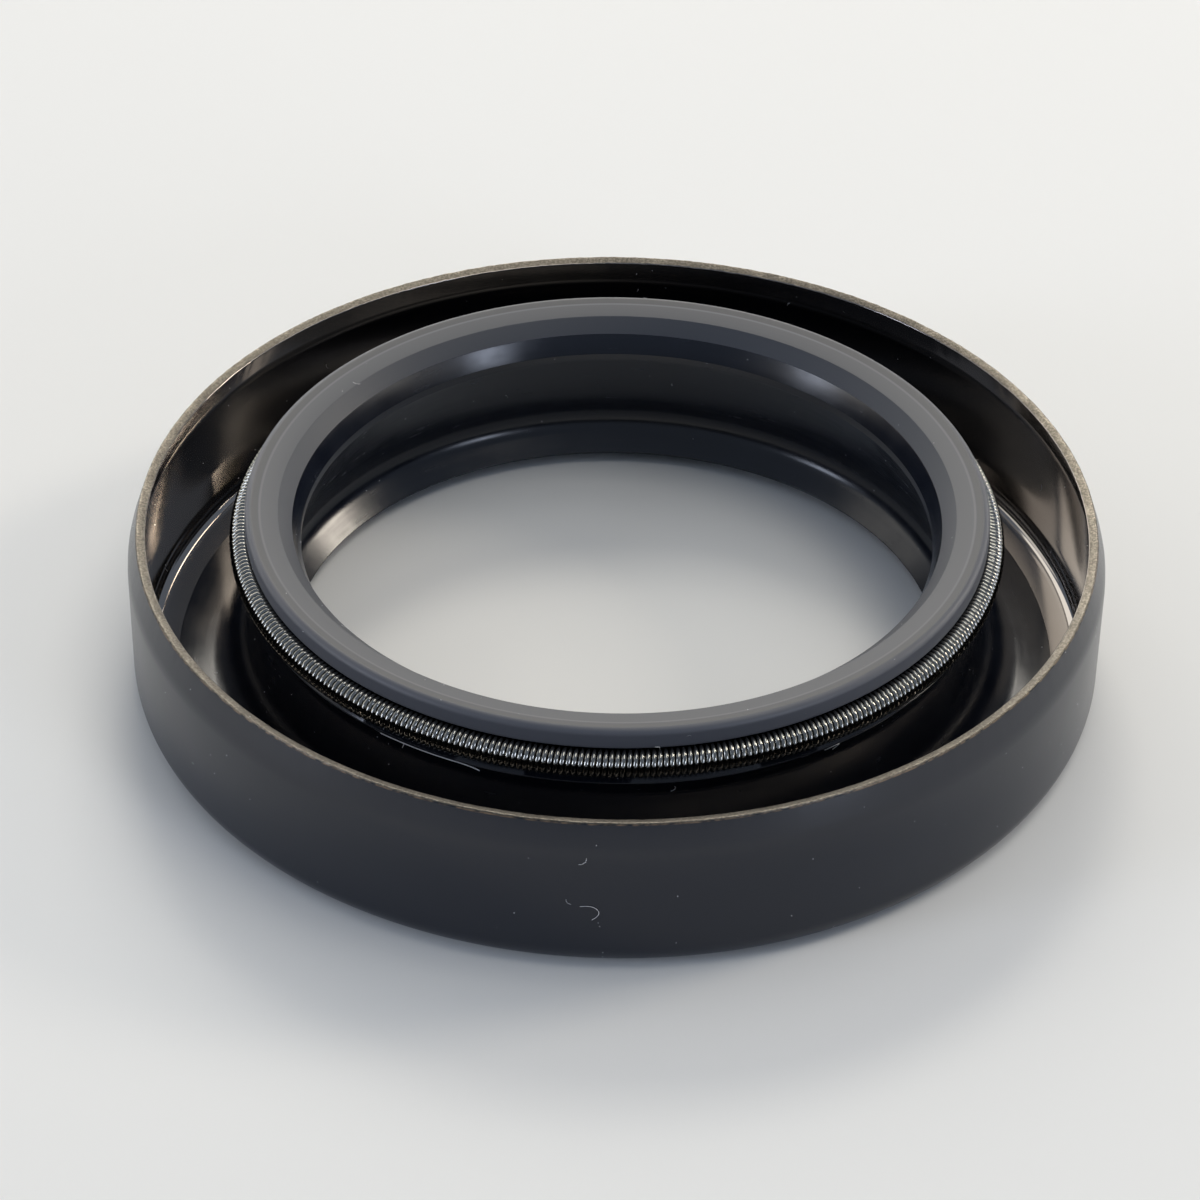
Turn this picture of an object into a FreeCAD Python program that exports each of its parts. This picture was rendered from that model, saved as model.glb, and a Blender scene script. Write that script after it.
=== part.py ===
import FreeCAD, Part
import math
import os

# Radial shaft seal, 50 x 75 x 13 mm: a pressed steel case, a moulded rubber sealing
# element bonded to the case's flange, and a garter spring in the groove behind the lip.
# Millimetres, axis on Z. The seal lies on the flange, which is the air side, so the
# origin is the centre of its resting face and the spring side looks up.

# Pressed steel case
case_outer_diameter = 75.0
case_height = 13.0
sheet_thickness = 0.75
bend_radius = 1.2               # inside of the bend between wall and flange
rim_taper_height = 2.4          # top of the wall, drawn in as a lead for the housing
rim_taper_angle = 18.0          # degrees from the axis
flange_hole_share = 0.4         # where the flange ends, from shaft (0) to housing (1)

# Sealing lip, with widths, rises and drops from the contact edge
shaft_diameter = 50.0
lip_interference = 1.5          # how much smaller the free lip is than the shaft
contact_height = 10.9           # from the resting face
contact_band_height = 0.6       # straight band above the contact edge
oil_cone_height = 1.55          # above the band
oil_cone_width = 0.6
chamfer_height = 1.05
chamfer_width = 1.05
head_width = 4.2                # outer edge of the trimmed top face
head_rise = 0.5                 # how far that face climbs outwards
neck_width = 4.15               # waist, on the spring side
neck_drop = 1.7
throat_width = 3.25             # corner between the cone of the lip and the dust lip
throat_height = 3.1             # from the resting face
throat_fillet_radius = 0.75

# Garter spring, seated in the groove round the head
spring_coil_diameter = 2.24
spring_width = 4.35             # from the contact edge out to the centre of the coil
spring_rise = 0.8               # and up
groove_clearance = 0.03
groove_mouth_drawback = 0.15    # lower corner of the head, inwards from the coil's centre
groove_upper_angle = 25.0       # flanks of the groove, degrees from level
groove_lower_angle = 35.0
bead_reach = 0.3                # corner of the bead, outwards from the coil's centre

# Heel, moulded round the edge of the flange; shares run from shaft (0) to housing (1)
heel_foot_share = 0.272
heel_fillet_radius = 3.2
heel_cover_share = 0.728        # where the rubber runs out on the flange
heel_cover_thickness = 0.2      # at the foot of the heel
heel_recess = 0.2               # the rubber stops this far above the resting face

# Dust lip
dust_lip_clearance = 0.3        # how much wider its edge is than the shaft
dust_lip_height = 1.1
dust_lip_edge_thickness = 0.35
dust_lip_root_thickness = 1.0
dust_pocket_wall = 1.8          # rubber between the flange and the hollow under the dust lip

# Rounded forms are built of flat runs, so that the part stays light
facet_depth = 0.15              # how far a flat run may cut into the round it stands for

case_outer_radius = case_outer_diameter / 2
wall_inner_radius = case_outer_radius - sheet_thickness
contact_radius = (shaft_diameter - lip_interference) / 2
coil_radius = spring_coil_diameter / 2
spring_ring_radius = contact_radius + spring_width
spring_height = contact_height + spring_rise


def section_radius(share):
    """Radius at a share of the way from the shaft out to the housing."""
    return (shaft_diameter + share * (case_outer_diameter - shaft_diameter)) / 2


def point(radius, height):
    return FreeCAD.Vector(radius, 0, height)


def facet_count(radius, angle):
    """How many flat runs stand for an arc, given in radians."""
    widest = 2 * math.acos(1 - min(facet_depth / radius, 1))
    return math.ceil(angle / widest)


def rounded_corner(last, corner, following, rounding):
    """Ends of the flat runs that round a corner between its two neighbours."""
    to_last = (last - corner).normalize()
    to_next = (following - corner).normalize()
    half_angle = to_last.getAngle(to_next) / 2
    reach = rounding / math.tan(half_angle)
    depth = rounding / math.sin(half_angle) - rounding
    middle = corner + (to_last + to_next).normalize() * depth
    arc = Part.Arc(corner + to_last * reach, middle, corner + to_next * reach)
    return arc.toShape().discretize(facet_count(rounding, math.pi - 2 * half_angle) + 1)


def rounded_outline(corners):
    """Closed outline in the XZ plane, from corners of (radius, height, rounding)."""
    places = [point(radius, height) for radius, height, rounding in corners]
    outline = []
    for i, place in enumerate(places):
        rounding = corners[i][2]
        if rounding == 0:
            outline.append(place)
        else:
            following = places[(i + 1) % len(places)]
            outline += rounded_corner(places[i - 1], place, following, rounding)
    return Part.makePolygon(outline + outline[:1])


def turned(outline):
    return Part.Face(outline).revolve(point(0, 0), FreeCAD.Vector(0, 0, 1), 360)


def make_outer_case():
    """Drawn cup: a wall, a flange turned in at its foot, and a tapered, sheared rim."""
    hole_radius = section_radius(flange_hole_share)
    taper = math.radians(rim_taper_angle)
    taper_foot = case_height - rim_taper_height
    rim_outer_radius = case_outer_radius - rim_taper_height * math.tan(taper)
    return turned(rounded_outline([
        (hole_radius, 0, 0),
        (case_outer_radius, 0, bend_radius + sheet_thickness),
        (case_outer_radius, taper_foot, 0),
        (rim_outer_radius, case_height, 0),
        (rim_outer_radius - sheet_thickness * math.cos(taper),
         case_height - sheet_thickness * math.sin(taper), 0),
        (wall_inner_radius, taper_foot - sheet_thickness * math.tan(taper / 2), 0),
        (wall_inner_radius, sheet_thickness, bend_radius),
        (hole_radius, sheet_thickness, 0),
    ]))


def coil_point(distance, angle):
    """A place in the outline, measured from the centre of the spring's coil."""
    return point(spring_ring_radius + distance * math.cos(angle),
                 spring_height + distance * math.sin(angle))


def groove_corners():
    """Bead, bottom and mouth of the groove, all of whose runs clear the coil alike."""
    upper = math.radians(groove_upper_angle)
    lower = math.radians(groove_lower_angle)
    bottom_radius = coil_radius + groove_clearance
    turn = math.pi - upper - lower
    steps = facet_count(bottom_radius, turn)
    half_step = turn / steps / 2
    bottom = []
    for i in range(steps):
        angle = 1.5 * math.pi - lower - half_step * (2 * i + 1)
        bottom.append(coil_point(bottom_radius / math.cos(half_step), angle))
    bead_radius = spring_ring_radius + bead_reach
    bead_height = bottom[0].z - (bead_radius - bottom[0].x) * math.tan(lower)
    mouth_radius = spring_ring_radius - groove_mouth_drawback
    mouth_height = bottom[-1].z + (mouth_radius - bottom[-1].x) * math.tan(upper)
    places = [point(bead_radius, bead_height)] + bottom + [point(mouth_radius, mouth_height)]
    return [(place.x, place.z, 0) for place in places]


def head_corners():
    """Top face, chamfer, oil side cone and contact band, down to the contact edge."""
    cone_radius = contact_radius + oil_cone_width
    band_top_height = contact_height + contact_band_height
    cone_top_height = band_top_height + oil_cone_height
    chamfer_top_height = cone_top_height + chamfer_height
    return [
        (contact_radius + head_width, chamfer_top_height + head_rise, 0),
        (cone_radius + chamfer_width, chamfer_top_height, 0),
        (cone_radius, cone_top_height, 0),
        (contact_radius, band_top_height, 0),
        (contact_radius, contact_height, 0),
    ]


def dust_lip_corners():
    """Throat, edge and back of the dust lip, and the pocket behind it."""
    throat = point(contact_radius + throat_width, throat_height)
    edge = point((shaft_diameter + dust_lip_clearance) / 2, dust_lip_height)
    along = (edge - throat).normalize()
    across = FreeCAD.Vector(-along.z, 0, along.x)
    edge_back = edge + across * dust_lip_edge_thickness
    root_back = throat + across * dust_lip_root_thickness
    pocket_radius = section_radius(flange_hole_share) - dust_pocket_wall
    slope = (root_back.z - edge_back.z) / (root_back.x - edge_back.x)
    pocket_height = edge_back.z + slope * (pocket_radius - edge_back.x)
    return [
        (throat.x, throat.z, throat_fillet_radius),
        (edge.x, edge.z, 0),
        (edge_back.x, edge_back.z, 0),
        (pocket_radius, pocket_height, 0),
        (pocket_radius, heel_recess, 0),
    ]


def heel_corners():
    """From the rubber's end under the flange, round the hole's edge and up to the neck."""
    hole_radius = section_radius(flange_hole_share)
    foot_height = sheet_thickness + heel_cover_thickness
    return [
        (hole_radius, heel_recess, 0),
        (hole_radius, sheet_thickness, 0),
        (section_radius(heel_cover_share), sheet_thickness, 0),
        (section_radius(heel_foot_share), foot_height, heel_fillet_radius),
        (contact_radius + neck_width, contact_height - neck_drop, 0),
    ]


def make_sealing_element():
    corners = heel_corners() + groove_corners() + head_corners() + dust_lip_corners()
    return turned(rounded_outline(corners))


def make_garter_spring():
    """Outer form of the closed ring of wire coil, as one plain ring."""
    sides = 4 * facet_count(coil_radius, math.pi / 2)
    corners = [coil_point(coil_radius, 2 * math.pi * i / sides) for i in range(sides)]
    return turned(Part.makePolygon(corners + corners[:1]))


os.makedirs("parts", exist_ok=True)
make_outer_case().exportStep("parts/outer_case.step")
make_sealing_element().exportStep("parts/sealing_element.step")
make_garter_spring().exportStep("parts/garter_spring.step")
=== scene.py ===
import math

import bmesh
import bpy
from mathutils import Matrix, Vector, noise


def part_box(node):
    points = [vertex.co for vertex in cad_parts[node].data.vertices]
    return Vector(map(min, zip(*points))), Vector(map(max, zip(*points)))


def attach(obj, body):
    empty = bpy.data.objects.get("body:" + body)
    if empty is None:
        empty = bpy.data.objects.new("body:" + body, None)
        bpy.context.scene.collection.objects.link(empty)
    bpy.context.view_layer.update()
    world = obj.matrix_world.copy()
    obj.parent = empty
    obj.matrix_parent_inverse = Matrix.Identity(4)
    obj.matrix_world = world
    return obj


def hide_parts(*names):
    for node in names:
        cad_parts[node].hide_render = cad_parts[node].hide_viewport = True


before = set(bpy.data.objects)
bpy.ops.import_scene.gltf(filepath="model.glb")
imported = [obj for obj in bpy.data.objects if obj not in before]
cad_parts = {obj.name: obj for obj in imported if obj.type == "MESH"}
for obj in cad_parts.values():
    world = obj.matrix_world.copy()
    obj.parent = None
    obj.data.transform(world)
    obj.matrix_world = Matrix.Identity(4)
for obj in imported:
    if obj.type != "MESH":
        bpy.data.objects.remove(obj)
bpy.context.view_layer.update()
print("frame loaded:", len(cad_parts), "nodes")

mm = 0.001
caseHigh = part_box("outer_case")[1]
springLow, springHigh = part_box("garter_spring")


def linear(hexColour):
    # "#rrggbb" as the eye sees it, turned to the linear values that a shader takes
    parts = [int(hexColour[i:i + 2], 16) / 255 for i in (1, 3, 5)]
    return [c / 12.92 if c <= 0.04045 else ((c + 0.055) / 1.055) ** 2.4 for c in parts] + [1.0]


def addNode(tree, kind, settings=None, links=None):
    # settings with a small first letter belong to the node, the others are its sockets
    node = tree.nodes.new(kind)
    for key, value in (settings or {}).items():
        if isinstance(key, str) and key[0].islower():
            setattr(node, key, value)
        else:
            node.inputs[key].default_value = value
    for key, source in (links or {}).items():
        tree.links.new(source, node.inputs[key])
    return node


def newFinish(name, colour, roughness, metallic=0.0):
    # a Principled material, its tree and its shader node; a finish that varies links its
    # patterns over the plain colour and roughness given here
    material = bpy.data.materials.new(name)
    material.use_nodes = True
    tree = material.node_tree
    shader = tree.nodes["Principled BSDF"]
    shader.inputs["Base Color"].default_value = linear(colour)
    shader.inputs["Roughness"].default_value = roughness
    shader.inputs["Metallic"].default_value = metallic
    return material, tree, shader


def axialPlace(tree, around, along, across):
    # a vector and a W that change slowly round the axis and fast along it or away from it:
    # what turning, drawing and moulding leave behind. All three are in steps to the metre.
    place = addNode(tree, "ShaderNodeTexCoord").outputs["Object"]
    xyz = addNode(tree, "ShaderNodeSeparateXYZ", links={0: place})
    flat = addNode(tree, "ShaderNodeCombineXYZ",
                   links={"X": xyz.outputs["X"], "Y": xyz.outputs["Y"]})
    radius = addNode(tree, "ShaderNodeVectorMath", {"operation": "LENGTH"}, {0: flat.outputs[0]})
    stretched = addNode(tree, "ShaderNodeVectorMath",
                        {"operation": "MULTIPLY", 1: (around, around, along)}, {0: place})
    outwards = addNode(tree, "ShaderNodeMath", {"operation": "MULTIPLY", 1: across},
                       {0: radius.outputs["Value"]})
    return stretched.outputs[0], outwards.outputs[0]


def paintedSteel():
    # Baked phenolic paint on the outside of the case: blue-black, satin, with the fine
    # bloom of a dipped coat, so its edges turn pale where they face the light
    material, tree, shader = newFinish("painted steel", "#0a111e", 0.3)
    place = addNode(tree, "ShaderNodeTexCoord").outputs["Object"]
    grain = addNode(tree, "ShaderNodeTexNoise", {"Scale": 2600.0, "Detail": 4.0, "Roughness": 0.6},
                    {"Vector": place})  # 0.4 mm grain
    cloud = addNode(tree, "ShaderNodeTexNoise", {"Scale": 60.0, "Detail": 3.0},
                    {"Vector": place})  # clouds 17 mm across
    rough = addNode(tree, "ShaderNodeMapRange", {"To Min": 0.2, "To Max": 0.28},
                    {"Value": cloud.outputs["Fac"]})
    tree.links.new(rough.outputs[0], shader.inputs["Roughness"])
    bump = addNode(tree, "ShaderNodeBump", {"Strength": 0.06, "Distance": 0.00002},
                   {"Height": grain.outputs["Fac"]})
    tree.links.new(bump.outputs[0], shader.inputs["Normal"])
    return material


def bareSteel(name, darkest, palest, smoothest, roughest):
    # Cold-drawn sheet left bare inside the cup: mirror-like where the die polished it,
    # warmed a little by oil, with draw lines 0.7 mm apart running round it
    material, tree, shader = newFinish(name, "#a39b93", 0.07, 1.0)
    place, outwards = axialPlace(tree, around=40.0, along=1500.0, across=1500.0)
    lines = addNode(tree, "ShaderNodeTexNoise",
                    {"noise_dimensions": "4D", "Scale": 1.0, "Detail": 3.0, "Roughness": 0.55},
                    {"Vector": place, "W": outwards})
    rough = addNode(tree, "ShaderNodeMapRange", {"To Min": smoothest, "To Max": roughest},
                    {"Value": lines.outputs["Fac"]})
    tree.links.new(rough.outputs[0], shader.inputs["Roughness"])
    tint = addNode(tree, "ShaderNodeTexNoise", {"Scale": 90.0, "Detail": 4.0},
                   {"Vector": addNode(tree, "ShaderNodeTexCoord").outputs["Object"]})  # 11 mm
    colour = addNode(tree, "ShaderNodeMix", {"data_type": "RGBA", 6: linear(darkest),
                                             7: linear(palest)}, {0: tint.outputs["Fac"]})
    tree.links.new(colour.outputs[2], shader.inputs["Base Color"])
    bump = addNode(tree, "ShaderNodeBump", {"Strength": 0.02, "Distance": 0.00002},
                   {"Height": lines.outputs["Fac"]})
    tree.links.new(bump.outputs[0], shader.inputs["Normal"])
    return material


def shearedSteel():
    # The rim as the trimming tool left it: torn, dull with oxide, never painted, and
    # bright only on the crests of the tear
    material, tree, shader = newFinish("sheared steel", "#6f6a60", 0.5, 1.0)
    place = addNode(tree, "ShaderNodeTexCoord").outputs["Object"]
    torn = addNode(tree, "ShaderNodeTexNoise", {"Scale": 5200.0, "Detail": 4.0, "Roughness": 0.65},
                   {"Vector": place})  # tears 0.2 mm across
    crest = addNode(tree, "ShaderNodeMapRange", {"From Min": 0.42, "From Max": 0.7},
                    {"Value": torn.outputs["Fac"]})
    colour = addNode(tree, "ShaderNodeMix", {"data_type": "RGBA", 6: linear("#57524a"),
                                             7: linear("#857f74")}, {0: crest.outputs[0]})
    tree.links.new(colour.outputs[2], shader.inputs["Base Color"])
    rough = addNode(tree, "ShaderNodeMapRange", {"To Min": 0.42, "To Max": 0.26},
                    {"Value": crest.outputs[0]})
    tree.links.new(rough.outputs[0], shader.inputs["Roughness"])
    bump = addNode(tree, "ShaderNodeBump", {"Strength": 0.5, "Distance": 0.00004},
                   {"Height": torn.outputs["Fac"]})
    tree.links.new(bump.outputs[0], shader.inputs["Normal"])
    return material


def edgeOxide():
    # The line under the rim where the tool chipped the paint and the steel has browned
    material, tree, shader = newFinish("browned steel", "#4b4036", 0.5, 0.6)
    place = addNode(tree, "ShaderNodeTexCoord").outputs["Object"]
    patches = addNode(tree, "ShaderNodeTexNoise", {"Scale": 1500.0, "Detail": 4.0},
                      {"Vector": place})  # 0.7 mm patches
    share = addNode(tree, "ShaderNodeMapRange", {"From Min": 0.4, "From Max": 0.6},
                    {"Value": patches.outputs["Fac"]})
    colour = addNode(tree, "ShaderNodeMix", {"data_type": "RGBA", 6: linear("#1b1f25"),
                                             7: linear("#6a5b4b")}, {0: share.outputs[0]})
    tree.links.new(colour.outputs[2], shader.inputs["Base Color"])
    return material


def mouldedRubber():
    # Carbon-black nitrile from a polished mould: nearly black, glossy, a little blue, with
    # the mould's turning marks, 0.4 mm apart, and the cloudy bloom of wax and antioxidant
    material, tree, shader = newFinish("moulded nitrile rubber", "#060911", 0.22)
    place, outwards = axialPlace(tree, around=120.0, along=2500.0, across=2500.0)
    marks = addNode(tree, "ShaderNodeTexNoise",
                    {"noise_dimensions": "4D", "Scale": 1.0, "Detail": 4.0, "Roughness": 0.6},
                    {"Vector": place, "W": outwards})
    bloom = addNode(tree, "ShaderNodeTexNoise", {"Scale": 420.0, "Detail": 4.0, "Roughness": 0.6},
                    {"Vector": addNode(tree, "ShaderNodeTexCoord").outputs["Object"]})  # 2.4 mm
    colour = addNode(tree, "ShaderNodeMix", {"data_type": "RGBA", 6: linear("#060912"),
                                             7: linear("#10151f")}, {0: bloom.outputs["Fac"]})
    tree.links.new(colour.outputs[2], shader.inputs["Base Color"])
    both = addNode(tree, "ShaderNodeMath", {"operation": "MULTIPLY"},
                   {0: marks.outputs["Fac"], 1: bloom.outputs["Fac"]})
    rough = addNode(tree, "ShaderNodeMapRange", {"From Min": 0.1, "From Max": 0.4, "To Min": 0.17,
                                                 "To Max": 0.28}, {"Value": both.outputs[0]})
    tree.links.new(rough.outputs[0], shader.inputs["Roughness"])
    bump = addNode(tree, "ShaderNodeBump", {"Strength": 0.05, "Distance": 0.00002},
                   {"Height": marks.outputs["Fac"]})
    tree.links.new(bump.outputs[0], shader.inputs["Normal"])
    return material


def cutRubberWithEdgeHighlight(innerRadius, outerRadius):
    # The same nitrile where the knife trimmed the lip: matt, greyer, with the knife's rings; its
    # colour is painted by radius:
    # a narrow lighter ring, a darker band, and a pale ring on the outer edge that is a painted
    # highlight of its rounding
    material, tree, shader = newFinish("knife-trimmed nitrile rubber", "#323439", 0.5)
    ringsPerMetre = 7000.0  # 0.14 mm apart
    place, outwards = axialPlace(tree, around=40.0, along=40.0, across=ringsPerMetre)
    rings = addNode(tree, "ShaderNodeTexNoise",
                    {"noise_dimensions": "4D", "Scale": 1.0, "Detail": 3.0, "Roughness": 0.5},
                    {"Vector": place, "W": outwards})
    bump = addNode(tree, "ShaderNodeBump", {"Strength": 0.15, "Distance": 0.00002},
                   {"Height": rings.outputs["Fac"]})
    tree.links.new(bump.outputs[0], shader.inputs["Normal"])
    radius = addNode(tree, "ShaderNodeMath", {"operation": "DIVIDE", 1: ringsPerMetre},
                     {0: outwards})
    share = addNode(tree, "ShaderNodeMapRange", {"From Min": innerRadius, "From Max": outerRadius},
                    {"Value": radius.outputs[0]})
    # tones by radius across the face; the pale outermost tone is a painted highlight of the rounded
    # outer edge
    ringsAndEdgeHighlight = addNode(tree, "ShaderNodeValToRGB", links={0: share.outputs[0]})
    ringsAndEdgeHighlight.color_ramp.elements.remove(ringsAndEdgeHighlight.color_ramp.elements[1])
    ringsAndEdgeHighlight.color_ramp.elements[0].color = linear("#34373d")
    for at, tone in ((0.5, "#34373d"), (0.53, "#4a4c52"), (0.56, "#4a4c52"), (0.6, "#23262c"),
                     (0.78, "#23262c"), (0.86, "#4c4e54")):
        ringsAndEdgeHighlight.color_ramp.elements.new(at).color = linear(tone)
    tree.links.new(ringsAndEdgeHighlight.outputs[0], shader.inputs["Base Color"])
    return material


def rubberFlash():
    # The thin fin where the mould closed: frayed, so it stays dull where the rest shines
    return newFinish("nitrile flash", "#1d1f23", 0.6)[0]


def springWire():
    # Hard-drawn spring wire, darkened by heat and oil, polished by the die
    return newFinish("spring wire", "#93928d", 0.12, 1.0)[0]


def newObject(name, data):
    # an object with this data, put into the scene
    fresh = bpy.data.objects.new(name, data)
    bpy.context.collection.objects.link(fresh)
    return fresh


turning = {
    "around": 700,       # places round the axis
    "bendStep": 9.0,     # degrees between places in a bend
    "sharpAngle": 35.0,  # degrees; faces that meet more steeply keep a hard edge
}


def bentCorner(last, corner, following, rounding):
    # the places on the arc that rounds one corner of an outline
    toLast = (last - corner).normalized()
    toNext = (following - corner).normalized()
    half = toLast.angle(toNext) / 2
    centre = corner + (toLast + toNext).normalized() * (rounding / math.sin(half))
    start = corner + toLast * (rounding / math.tan(half)) - centre
    end = corner + toNext * (rounding / math.tan(half)) - centre
    turn = start.angle_signed(end)
    steps = max(2, math.ceil(abs(math.degrees(turn)) / turning["bendStep"]))
    places = []
    for i in range(steps + 1):
        angle = -turn * i / steps
        places.append(centre + Vector((start.x * math.cos(angle) - start.y * math.sin(angle),
                                       start.x * math.sin(angle) + start.y * math.cos(angle))))
    return places


def bentOutline(corners):
    # corners are (radius, height, rounding, finish) in millimetres, anticlockwise; the finish
    # is that of the run after the corner. Gives the places in metres and a finish for each.
    spots = [Vector(corner[:2]) for corner in corners]
    places, finishes = [], []
    for i, (*_, rounding, finish) in enumerate(corners):
        if rounding:
            arc = bentCorner(spots[i - 1], spots[i], spots[(i + 1) % len(spots)], rounding)
        else:
            arc = [spots[i]]
        places += arc
        finishes += [finish] * len(arc)
    return [place * mm for place in places], finishes


def turnPiece(name, corners, finishes, stray):
    # revolves an outline about Z; stray moves a place a little, to break the perfect circle
    outline, finishOf = bentOutline(corners)
    around = turning["around"]
    vertices = []
    for place in outline:
        for j in range(around):
            angle = 2 * math.pi * j / around
            radius, height = stray(place, angle)
            vertices.append((radius * math.cos(angle), radius * math.sin(angle), height))
    faces, slots = [], []
    for i in range(len(outline)):
        for j in range(around):
            k, m = (i + 1) % len(outline), (j + 1) % around
            faces.append((i * around + j, i * around + m, k * around + m, k * around + j))
            slots.append(finishOf[i])
    mesh = bpy.data.meshes.new(name)
    mesh.from_pydata(vertices, [], faces)
    for material in finishes:
        mesh.materials.append(material)
    mesh.polygons.foreach_set("material_index", slots)
    mesh.shade_smooth()
    mesh.set_sharp_from_angle(angle=math.radians(turning["sharpAngle"]))
    return newObject(name, mesh)


def roughness(place, angle, size, seed):
    # a smooth random number from -1 to 1 that meets itself after a full turn
    reach = place.x / size
    return noise.noise(Vector((reach * math.cos(angle), reach * math.sin(angle), seed)))


caseShape = {  # millimetres and degrees
    "sheet": 0.75, "bend": 1.2, "kneeBend": 3.0, "taperHeight": 2.4, "taperAngle": 18.0,
    "holeRadius": 30.0, "holeRounding": 0.05, "rimRounding": 0.09, "chippedEdge": 0.2,
    # the torn rim: depth, share that leans inwards, length of the fine and of the coarse
    # tears, weight of the coarse ones, and the level below which the rim stays whole
    "rimTear": 0.035, "tearLean": 0.3, "fineTear": 0.35, "coarseTear": 1.3,
    "coarseShare": 0.6, "tearLevel": 0.5,
    # how far down the tears may reach: this many drops of the sheared face, and a margin
    "tearReach": 1.2, "tearMargin": 0.1,
}


def makeCase():
    shape = caseShape
    outer, top = caseHigh.x / mm, caseHigh.z / mm
    sheet, bend, knee = shape["sheet"], shape["bend"], shape["kneeBend"]
    taper = math.radians(shape["taperAngle"])
    foot = top - shape["taperHeight"]
    rim = outer - shape["taperHeight"] * math.tan(taper)
    chipped = shape["chippedEdge"]
    paint, bare, torn, browned, ironed = range(5)
    finishes = [
        paintedSteel(), bareSteel("drawn steel", "#8c8680", "#a5a19d", 0.04, 0.1),
        shearedSteel(), edgeOxide(), bareSteel("ironed steel", "#87807a", "#9d9893", 0.09, 0.15),
    ]
    corners = [
        (shape["holeRadius"], 0, shape["holeRounding"], paint),
        (outer, 0, bend + sheet, paint),
        (outer, foot, knee + sheet, paint),
        (rim + chipped * math.tan(taper), top - chipped, 0, browned),
        (rim, top, shape["rimRounding"], torn),
        (rim - sheet * math.cos(taper), top - sheet * math.sin(taper), shape["rimRounding"],
         ironed),
        (outer - sheet, foot - sheet * math.tan(taper / 2), knee, ironed),
        (outer - sheet, sheet, bend, bare),
        (shape["holeRadius"], sheet, shape["holeRounding"], bare),
    ]
    reach = shape["tearReach"] * sheet * math.sin(taper)
    rimFloor = (top - reach - shape["tearMargin"]) * mm

    def stray(place, angle):
        # bites out of the sheared rim, down and a little inwards
        if place.y < rimFloor:
            return place.x, place.y
        fine = roughness(place, angle, shape["fineTear"] * mm, seed=1.0)
        coarse = roughness(place, angle, shape["coarseTear"] * mm, seed=2.0)
        tear = fine + shape["coarseShare"] * coarse
        drop = min(0.0, tear - shape["tearLevel"]) * shape["rimTear"] * mm
        return place.x + shape["tearLean"] * drop, place.y + drop

    case = turnPiece("painted_case", corners, finishes, stray)
    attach(case, "root")
    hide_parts("outer_case")
    print("case made")
    return case


rubberShape = {  # millimetres and degrees, heights from the resting face
    "contactHeight": 10.9, "contactRadius": 24.25, "bandHeight": 0.6, "coneHeight": 1.55,
    "coneWidth": 0.6, "chamferHeight": 1.05, "chamferWidth": 1.05, "headRadius": 28.45,
    "headRise": 0.5, "headEdge": 0.5, "grooveClearance": 0.03, "mouthDrawback": 0.15,
    "beadReach": 0.3, "upperFlank": 25.0, "lowerFlank": 35.0, "neckRadius": 28.05,
    "neckHeight": 8.4, "footRadius": 28.4, "heelFillet": 3.2, "coverRadius": 34.1,
    "coverThickness": 0.2, "throatRadius": 27.5, "throatHeight": 3.1, "throatFillet": 1.9,
    "dustLipRadius": 25.15, "dustLipHeight": 1.1,
    "dustLipEdge": 0.35, "dustLipRoot": 1.0, "pocketRadius": 28.2, "recess": 0.2,
    # small roundings, which the plain solid leaves sharp
    "coverRounding": 0.05, "neckRounding": 1.5, "mouthRounding": 0.4, "chamferRounding": 0.1,
    "coneRounding": 0.08, "bandRounding": 0.12, "contactRounding": 0.1,
    "dustLipRounding": 0.06, "pocketRounding": 0.3, "recessRounding": 0.15,
    # the end of the cover on the flange: its slope, how far the rubber creeps back there,
    # how wide the creeping strip is, and the lengths of its fine and coarse waves
    "coverSlope": (0.05, 0.12), "coverFlash": 0.1, "creepStrip": 0.3,
    "fineCreep": 0.5, "coarseCreep": 2.5,
    # the fin at the bead's corner: how far it stands out, the way in and down to its foot,
    # down to its tip, in and up to its top, and the length and strength of its fraying
    "fin": 0.03, "finFoot": (0.1, 0.12), "finTip": 0.06, "finTop": (0.04, 0.02),
    "frayLength": 9.0, "fraying": 1.4,
}


def grooveCorners(moulded, trimmed, flash):
    # mouth, round bottom and bead of the groove, with the bottom centred on the coil
    shape = rubberShape
    (footIn, footDown), (topIn, topUp) = shape["finFoot"], shape["finTop"]
    coil = (springHigh.z - springLow.z) / 2 / mm
    ring = springHigh.x / mm - coil
    height = (springHigh.z + springLow.z) / 2 / mm
    upper, lower = math.radians(shape["upperFlank"]), math.radians(shape["lowerFlank"])
    bottom = coil + shape["grooveClearance"]
    depth = bottom / math.sin((upper + lower) / 2)
    lean = (upper - lower) / 2
    apex = ring - depth * math.cos(lean)
    apexHeight = height - depth * math.sin(lean)
    bead, mouth = ring + shape["beadReach"], ring - shape["mouthDrawback"]
    beadHeight = apexHeight - (bead - apex) * math.tan(lower)
    return [
        (bead - footIn, beadHeight - footDown, 0, flash),
        (bead + shape["fin"], beadHeight - shape["finTip"], 0, flash),
        (bead - topIn, beadHeight + topUp, 0, moulded),
        (apex, apexHeight, bottom, moulded),
        (mouth, apexHeight + (mouth - apex) * math.tan(upper), shape["mouthRounding"], trimmed),
    ]


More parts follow.
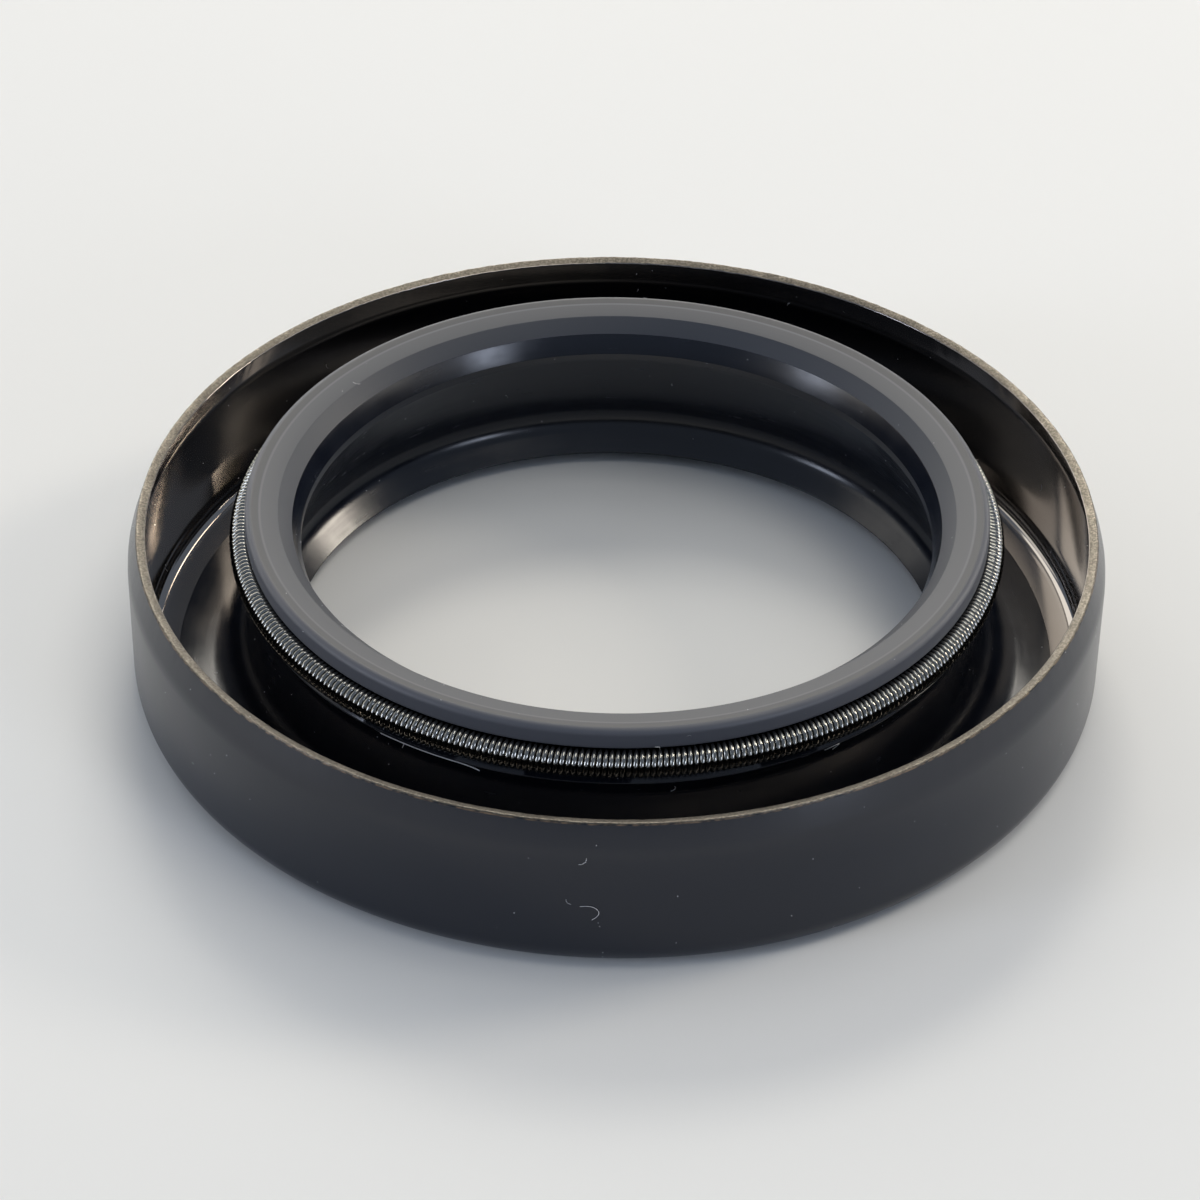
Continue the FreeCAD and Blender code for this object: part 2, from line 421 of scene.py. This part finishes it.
def makeRubber():
    shape = rubberShape
    moulded, trimmed, flash = range(3)
    sheet = caseShape["sheet"]
    hole = caseShape["holeRadius"]
    contact = shape["contactRadius"]
    coneRadius = contact + shape["coneWidth"]
    bandTop = shape["contactHeight"] + shape["bandHeight"]
    coneTop = bandTop + shape["coneHeight"]
    chamferTop = coneTop + shape["chamferHeight"]
    throat = Vector((shape["throatRadius"], shape["throatHeight"]))
    edge = Vector((shape["dustLipRadius"], shape["dustLipHeight"]))
    along = (edge - throat).normalized()
    across = Vector((-along.y, along.x))
    edgeBack = edge + across * shape["dustLipEdge"]
    rootBack = throat + across * shape["dustLipRoot"]
    slope = (rootBack.y - edgeBack.y) / (rootBack.x - edgeBack.x)
    pocketTop = edgeBack.y + slope * (shape["pocketRadius"] - edgeBack.x)
    slopeIn, slopeUp = shape["coverSlope"]
    corners = [
        (hole, shape["recess"], 0, moulded),
        (hole, sheet, 0, moulded),
        (shape["coverRadius"], sheet, 0, moulded),
        (shape["coverRadius"] - slopeIn, sheet + slopeUp, shape["coverRounding"], moulded),
        (shape["footRadius"], sheet + shape["coverThickness"], shape["heelFillet"], moulded),
        (shape["neckRadius"], shape["neckHeight"], shape["neckRounding"], moulded),
    ] + grooveCorners(moulded, trimmed, flash) + [
        (shape["headRadius"], chamferTop + shape["headRise"], shape["headEdge"], trimmed),
        (coneRadius + shape["chamferWidth"], chamferTop, shape["chamferRounding"], trimmed),
        (coneRadius, coneTop, shape["coneRounding"], moulded),
        (contact, bandTop, shape["bandRounding"], moulded),
        (contact, shape["contactHeight"], shape["contactRounding"], moulded),
        (throat.x, throat.y, shape["throatFillet"], moulded),
        (edge.x, edge.y, shape["dustLipRounding"], moulded),
        (edgeBack.x, edgeBack.y, shape["dustLipRounding"], moulded),
        (shape["pocketRadius"], pocketTop, shape["pocketRounding"], moulded),
        (shape["pocketRadius"], shape["recess"], shape["recessRounding"], moulded),
    ]
    creepInner = (shape["coverRadius"] - shape["creepStrip"]) * mm
    beadRadius = springHigh.x - (springHigh.z - springLow.z) / 2 + shape["beadReach"] * mm
    finInner, finOuter = beadRadius + 0.5 * shape["fin"] * mm, beadRadius + 2 * shape["fin"] * mm
    finTop = springHigh.z - (springHigh.z - springLow.z) / 2

    def stray(place, angle):
        # the fin's tip frays, and the end of the cover creeps to and fro; the rest keeps true
        if finInner < place.x < finOuter and shape["neckHeight"] * mm < place.y < finTop:
            wave = roughness(place, angle, shape["frayLength"] * mm, seed=6.0)
            frayed = min(1.0, max(0.0, 0.5 + shape["fraying"] * wave))
            return place.x - frayed * 2 * shape["fin"] * mm, place.y
        if place.x < creepInner:
            return place.x, place.y
        fine = roughness(place, angle, shape["fineCreep"] * mm, seed=3.0)
        coarse = roughness(place, angle, shape["coarseCreep"] * mm, seed=4.0)
        creep = 0.5 * fine + coarse
        return place.x - (0.5 + 0.5 * creep) * shape["coverFlash"] * mm, place.y

    cutAndHighlight = cutRubberWithEdgeHighlight((coneRadius + shape["chamferWidth"]) * mm, shape["headRadius"] * mm)
    rubber = turnPiece("rubber_element", corners, [mouldedRubber(), cutAndHighlight, rubberFlash()], stray)
    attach(rubber, "root")
    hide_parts("sealing_element")
    print("rubber made")
    return rubber


def newTree(name, inputs):
    # a geometry tree with these inputs, their identifiers, and what the inputs give
    tree = bpy.data.node_groups.new(name, "GeometryNodeTree")
    sockets = {}
    for label, kind in inputs.items():
        socket = tree.interface.new_socket(label, in_out="INPUT", socket_type="NodeSocket" + kind)
        sockets[label] = socket.identifier
    tree.interface.new_socket("Geometry", in_out="OUTPUT", socket_type="NodeSocketGeometry")
    return tree, sockets, addNode(tree, "NodeGroupInput").outputs


def endTree(tree, geometry, finish):
    # what each tree ends in: real geometry, with its finish on it
    real = addNode(tree, "GeometryNodeRealizeInstances", links={0: geometry})
    done = addNode(tree, "GeometryNodeSetMaterial",
                   links={"Geometry": real.outputs[0], "Material": finish})
    addNode(tree, "NodeGroupOutput", links={0: done.outputs[0]})


def plainMesh(host, name):
    # what an object evaluates to, as a mesh of its own; the object itself is removed
    graph = bpy.context.evaluated_depsgraph_get()
    mesh = bpy.data.meshes.new_from_object(host.evaluated_get(graph))
    mesh.name = name
    bpy.data.objects.remove(host)
    return mesh


def runTree(name, base, tree, sockets, values):
    # the plain mesh that a tree with these input values makes of a base mesh
    host = newObject(name + "_host", base)
    modifier = host.modifiers.new(name, "NODES")
    modifier.node_group = tree
    for label, value in values.items():
        modifier[sockets[label]] = value
    return plainMesh(host, name)


springShape = {
    "turns": 421, "wire": 0.425,  # millimetres thick
    "wireFit": 0.985,  # drawn a little thinner, so that shade parts the turns
    "placesPerTurn": 14, "sides": 6,
}


def springTree():
    # a closed helix round a ring: every turn of the coil, and the wire swept along it
    tree, sockets, given = newTree("wound ring", {
        "Ring Radius": "Float", "Coil Radius": "Float", "Wire Radius": "Float", "Height": "Float",
        "Turns": "Int", "Places Per Turn": "Int", "Sides": "Int", "Finish": "Material"})

    count = addNode(tree, "ShaderNodeMath", {"operation": "MULTIPLY"},
                    {0: given["Turns"], 1: given["Places Per Turn"]})
    ring = addNode(tree, "GeometryNodeCurvePrimitiveCircle", {"Radius": 1.0},
                   {"Resolution": count.outputs[0]})
    index = addNode(tree, "GeometryNodeInputIndex")
    share = addNode(tree, "ShaderNodeMath", {"operation": "DIVIDE"},
                    {0: index.outputs[0], 1: count.outputs[0]})
    around = addNode(tree, "ShaderNodeMath", {"operation": "MULTIPLY", 1: 2 * math.pi},
                     {0: share.outputs[0]})
    winding = addNode(tree, "ShaderNodeMath", {"operation": "MULTIPLY"},
                      {0: around.outputs[0], 1: given["Turns"]})
    # how far out and how high the wire is as it winds, then where that is round the ring
    reach = []
    for wave, middle in (("COSINE", "Ring Radius"), ("SINE", "Height")):
        swing = addNode(tree, "ShaderNodeMath", {"operation": wave}, {0: winding.outputs[0]})
        reach.append(addNode(tree, "ShaderNodeMath", {"operation": "MULTIPLY_ADD"}, {
            0: given["Coil Radius"], 1: swing.outputs[0], 2: given[middle]}))
    out, height = reach
    place = addNode(tree, "ShaderNodeCombineXYZ", links={"Z": height.outputs[0]})
    for wave, axis in (("COSINE", "X"), ("SINE", "Y")):
        turn = addNode(tree, "ShaderNodeMath", {"operation": wave}, {0: around.outputs[0]})
        part = addNode(tree, "ShaderNodeMath", {"operation": "MULTIPLY"},
                       {0: out.outputs[0], 1: turn.outputs[0]})
        tree.links.new(part.outputs[0], place.inputs[axis])
    helix = addNode(tree, "GeometryNodeSetPosition",
                    links={"Geometry": ring.outputs[0], "Position": place.outputs[0]})
    section = addNode(tree, "GeometryNodeCurvePrimitiveCircle",
                      links={"Resolution": given["Sides"], "Radius": given["Wire Radius"]})
    wire = addNode(tree, "GeometryNodeCurveToMesh",
                   links={"Curve": helix.outputs[0], "Profile Curve": section.outputs[0]})
    smooth = addNode(tree, "GeometryNodeSetShadeSmooth", links={0: wire.outputs[0]})
    endTree(tree, smooth.outputs[0], given["Finish"])
    return tree, sockets


def makeSpring():
    # wound inside the box of the plain ring that it stands for
    shape = springShape
    wire = shape["wire"] / 2 * mm
    outerCoil = (springHigh.z - springLow.z) / 2
    mesh = runTree("wound_spring", bpy.data.meshes.new("bare ring"), *springTree(), {
        "Ring Radius": springHigh.x - outerCoil, "Coil Radius": outerCoil - wire,
        "Wire Radius": wire * shape["wireFit"], "Height": (springHigh.z + springLow.z) / 2,
        "Turns": shape["turns"], "Places Per Turn": shape["placesPerTurn"],
        "Sides": shape["sides"], "Finish": springWire(),
    })
    spring = newObject("wound_spring", mesh)
    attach(spring, "root")
    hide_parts("garter_spring")
    print("spring made:", len(mesh.polygons), "faces")


lint = {
    "fibres": 4000, "specks": 36000,  # to the square metre
    # millimetres: half a fibre's thickness, the radius of its bend, the radius of a speck,
    # and the height below which the seal is clean
    "thickness": 0.016, "length": 0.5, "speck": 0.03, "clearBelow": 0.8,
    "bend": 100.0,  # degrees
    "smallest": 0.3, "largest": 1.3,  # shares of those sizes
    "fibrePlaces": 6, "fibreSides": 3, "seed": 7,
    # the hairs caught on the lip and on the wall: half thickness, then azimuth, radius and
    # height at each bend
    "hairs": (
        (0.035, ((-126, 28.95, 10.0), (-122.5, 29.02, 10.05), (-116.7, 29.02, 10.05),
                 (-110.7, 28.98, 10.0), (-109.6, 28.95, 9.75))),
        (0.02, ((-121.8, 28.95, 10.0), (-122.3, 28.75, 9.5), (-122.9, 28.4, 9.0))),
        (0.02, ((-58.5, 28.98, 10.0), (-57.5, 29.5, 10.6), (-55.5, 29.0, 10.1),
                (-57.0, 28.9, 9.7))),
        (0.014, ((-93.6, 37.54, 5.9), (-92.2, 37.56, 6.1), (-91.2, 37.55, 5.2),
                 (-92.3, 37.54, 4.7))),
    ),
    "hairSteps": 6, "hairRoundness": 1,
}


def lintTree():
    # scatters bent fibres and specks of dust over the mesh that carries the modifier
    tree, sockets, given = newTree("scattered lint", {
        "Surface": "Geometry", "Fibres": "Float", "Specks": "Float", "Length": "Float",
        "Thickness": "Float", "Speck Radius": "Float", "Clear Below": "Float", "Seed": "Int",
        "Finish": "Material"})
    height = addNode(tree, "ShaderNodeSeparateXYZ",
                     links={0: addNode(tree, "GeometryNodeInputPosition").outputs[0]})
    above = addNode(tree, "FunctionNodeCompare", {"operation": "GREATER_THAN"},
                    {0: height.outputs["Z"], 1: given["Clear Below"]})
    bent = addNode(tree, "GeometryNodeCurveArc",
                   {"Resolution": lint["fibrePlaces"], "Sweep Angle": math.radians(lint["bend"])},
                   {"Radius": given["Length"]})
    section = addNode(tree, "GeometryNodeCurvePrimitiveCircle",
                      {"Resolution": lint["fibreSides"]}, {"Radius": given["Thickness"]})
    fibre = addNode(tree, "GeometryNodeCurveToMesh",
                    links={"Curve": bent.outputs[0], "Profile Curve": section.outputs[0]})
    speck = addNode(tree, "GeometryNodeMeshIcoSphere", {"Subdivisions": 1},
                    {"Radius": given["Speck Radius"]})
    scattered = []
    for step, (shape, density) in enumerate(((fibre, "Fibres"), (speck, "Specks"))):
        seed = addNode(tree, "ShaderNodeMath", {"operation": "ADD", 1: float(step)},
                       {0: given["Seed"]})
        points = addNode(tree, "GeometryNodeDistributePointsOnFaces", links={
            "Mesh": given["Surface"], "Selection": above.outputs[0], "Density": given[density],
            "Seed": seed.outputs[0]})
        size = addNode(tree, "FunctionNodeRandomValue",
                       {2: lint["smallest"], 3: lint["largest"]}, {"Seed": seed.outputs[0]})
        placed = addNode(tree, "GeometryNodeInstanceOnPoints", links={
            "Points": points.outputs[0], "Instance": shape.outputs[0],
            "Rotation": points.outputs["Rotation"], "Scale": size.outputs[1]})
        spin = addNode(tree, "FunctionNodeRandomValue", {3: 2 * math.pi}, {"Seed": seed.outputs[0]})
        turn = addNode(tree, "ShaderNodeCombineXYZ", links={"Z": spin.outputs[1]})
        turned = addNode(tree, "GeometryNodeRotateInstances",
                         links={"Instances": placed.outputs[0], "Rotation": turn.outputs[0]})
        scattered.append(turned.outputs[0])
    joined = addNode(tree, "GeometryNodeJoinGeometry")
    for source in scattered:
        tree.links.new(source, joined.inputs[0])
    endTree(tree, joined.outputs[0], given["Finish"])
    return tree, sockets


def lintFibre():
    # Cotton and paper dust: matt and grey
    return newFinish("cotton lint", "#5b5d60", 0.9)[0]


def withHairs(dust):
    # adds the long hairs, each a bent tube, to the scattered lint
    gathered = bmesh.new()
    gathered.from_mesh(dust)
    for thickness, bends in lint["hairs"]:
        curve = bpy.data.curves.new("hair", "CURVE")
        curve.dimensions, curve.resolution_u = "3D", lint["hairSteps"]
        curve.bevel_depth, curve.bevel_resolution = thickness * mm, lint["hairRoundness"]
        line = curve.splines.new("NURBS")
        line.points.add(len(bends) - 1)
        for point, (azimuth, radius, height) in zip(line.points, bends):
            angle = math.radians(azimuth)
            place = (radius * math.cos(angle), radius * math.sin(angle), height)
            point.co = [part * mm for part in place] + [1]
        line.order_u, line.use_endpoint_u = 3, True
        gathered.from_mesh(plainMesh(newObject("hair", curve), "hair"))
    mesh = bpy.data.meshes.new("surface_lint")
    gathered.to_mesh(mesh)
    gathered.free()
    mesh.materials.append(dust.materials[0])
    return mesh


def makeLint(case, rubber):
    # dust lies on the case and the rubber alike, so both are gathered in the base mesh
    gathered = bmesh.new()
    gathered.from_mesh(case.data)
    gathered.from_mesh(rubber.data)
    base = bpy.data.meshes.new("dusty surface")
    gathered.to_mesh(base)
    gathered.free()
    dust = runTree("scattered_lint", base, *lintTree(), {
        "Fibres": float(lint["fibres"]), "Specks": float(lint["specks"]),
        "Length": lint["length"] * mm, "Thickness": lint["thickness"] * mm,
        "Speck Radius": lint["speck"] * mm, "Clear Below": lint["clearBelow"] * mm,
        "Seed": lint["seed"], "Finish": lintFibre(),
    })
    piece = newObject("surface_lint", withHairs(dust))
    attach(piece, "root")
    print("lint made:", len(piece.data.polygons), "faces")


studio = {
    "floorColour": "#dfdfdc",
    "floorHalf": 3.0, "floorHeight": -0.00002,  # metres; just clear of the case's underside
    # room: its colour, and the horizon's colour, strength and rise, with how far round from
    # the front (-1) to the back (1) it begins to glow and is at its full strength
    "roomColour": "#838d9d", "horizonColour": "#fffaf2", "horizonLevel": 4.6,
    "horizonRise": 0.26, "horizonStart": -0.85, "horizonFull": 0.1,
    # soft lamps, all at one distance in metres: azimuth and elevation in degrees, width and
    # height in metres, watts, colour
    "lampDistance": 1.1,
    "lamps": {
        "sky": (106.0, 32.0, 0.8, 0.55, 2.8, "#fff9ee"),
        "key": (94.0, 43.0, 0.25, 0.25, 2.6, "#fff9ee"),
        "zenith": (-10.0, 74.0, 0.5, 0.5, 2.3, "#fff9ee"),
        "ceiling": (56.0, 62.0, 0.6, 0.45, 1.3, "#fff9ee"),
        "left_wall": (158.0, 33.0, 0.8, 0.3, 0.9, "#fff9ee"),
        "ledge": (80.0, 37.0, 0.16, 0.2, 0.9, "#fff9ee"),
        "right_tall": (-45.0, 12.0, 0.25, 0.44, 2.6, "#dfe9ff"),
        "left_tall": (-160.0, 14.0, 0.25, 0.5, 2.9, "#dfe9ff"),
        "window": (21.0, 29.0, 0.25, 0.22, 3.3, "#fff4e4"),
    },
}


def makeFloor():
    mesh = bpy.data.meshes.new("floor")
    half = studio["floorHalf"]
    mesh.from_pydata([(-half, -half, 0), (half, -half, 0), (half, half, 0), (-half, half, 0)],
                     [], [(0, 1, 2, 3)])
    mesh.materials.append(newFinish("pale cloth", studio["floorColour"], 0.9)[0])
    floor = newObject("floor", mesh)
    floor.location.z = studio["floorHeight"]


def hangLamp(name, azimuth, elevation, width, height, power, colour):
    lamp = bpy.data.lights.new(name, "AREA")
    lamp.shape = "RECTANGLE"
    lamp.size, lamp.size_y, lamp.energy = width, height, power
    lamp.color = linear(colour)[:3]
    hung = newObject(name, lamp)
    flat = math.cos(math.radians(elevation))
    away = Vector((flat * math.cos(math.radians(azimuth)), flat * math.sin(math.radians(azimuth)),
                   math.sin(math.radians(elevation))))
    hung.location = away * studio["lampDistance"]
    hung.rotation_euler = (-away).to_track_quat("-Z", "Y").to_euler()


def makeRoom():
    # soft room light: even overhead, and bright along the horizon behind the seal
    world = bpy.data.worlds.new("soft room")
    bpy.context.scene.world = world
    world.use_nodes = True
    tree = world.node_tree
    direction = addNode(tree, "ShaderNodeTexCoord").outputs["Generated"]
    parts = addNode(tree, "ShaderNodeSeparateXYZ", links={0: direction}).outputs
    share = addNode(tree, "ShaderNodeMapRange",
                    {"interpolation_type": "SMOOTHSTEP", "From Min": studio["horizonStart"],
                     "From Max": studio["horizonFull"]}, {"Value": parts["Y"]})
    low = addNode(tree, "ShaderNodeMapRange",
                  {"interpolation_type": "SMOOTHSTEP", "From Max": studio["horizonRise"],
                   "To Min": 1.0, "To Max": 0.0}, {"Value": parts["Z"]})
    lowBack = addNode(tree, "ShaderNodeMath", {"operation": "MULTIPLY"},
                      {0: low.outputs[0], 1: share.outputs[0]})
    pale = [part * studio["horizonLevel"] for part in linear(studio["horizonColour"])]
    colour = addNode(tree, "ShaderNodeMix",
                     {"data_type": "RGBA", 6: linear(studio["roomColour"]), 7: pale},
                     {0: lowBack.outputs[0]})
    tree.links.new(colour.outputs[2], tree.nodes["Background"].inputs["Color"])


def makeStudio():
    makeFloor()
    for name, place in studio["lamps"].items():
        hangLamp(name, *place)
    makeRoom()
    bpy.context.scene.view_settings.view_transform = "Standard"
    print("studio made")


camera = {
    "lens": 123.45, "sensor": 36.0, "distance": 315.3,  # millimetres
    "elevation": 37.08, "roll": -0.7718,  # degrees
    "right": 1.2296, "up": 6.654,  # millimetres from the middle of the rim's top
    "near": 0.01, "far": 20.0,  # metres
}


def makeCamera():
    elevation, roll = math.radians(camera["elevation"]), math.radians(camera["roll"])
    forward = Vector((0, math.cos(elevation), -math.sin(elevation)))
    up = Vector((0, math.sin(elevation), math.cos(elevation)))
    right = Vector((1, 0, 0))
    place = Vector((0, 0, caseHigh.z)) - (
        forward * camera["distance"] + right * camera["right"] + up * camera["up"]) * mm
    turnedRight = math.cos(roll) * right - math.sin(roll) * up
    turnedUp = math.sin(roll) * right + math.cos(roll) * up
    data = bpy.data.cameras.new("camera")
    data.lens, data.sensor_width = camera["lens"], camera["sensor"]
    data.clip_start, data.clip_end = camera["near"], camera["far"]
    eye = newObject("camera", data)
    axes = Matrix((turnedRight, turnedUp, -forward)).transposed()
    eye.matrix_world = Matrix.Translation(place) @ axes.to_4x4()
    bpy.context.scene.camera = eye


case = makeCase()
rubber = makeRubber()
makeSpring()
makeLint(case, rubber)
makeStudio()
makeCamera()
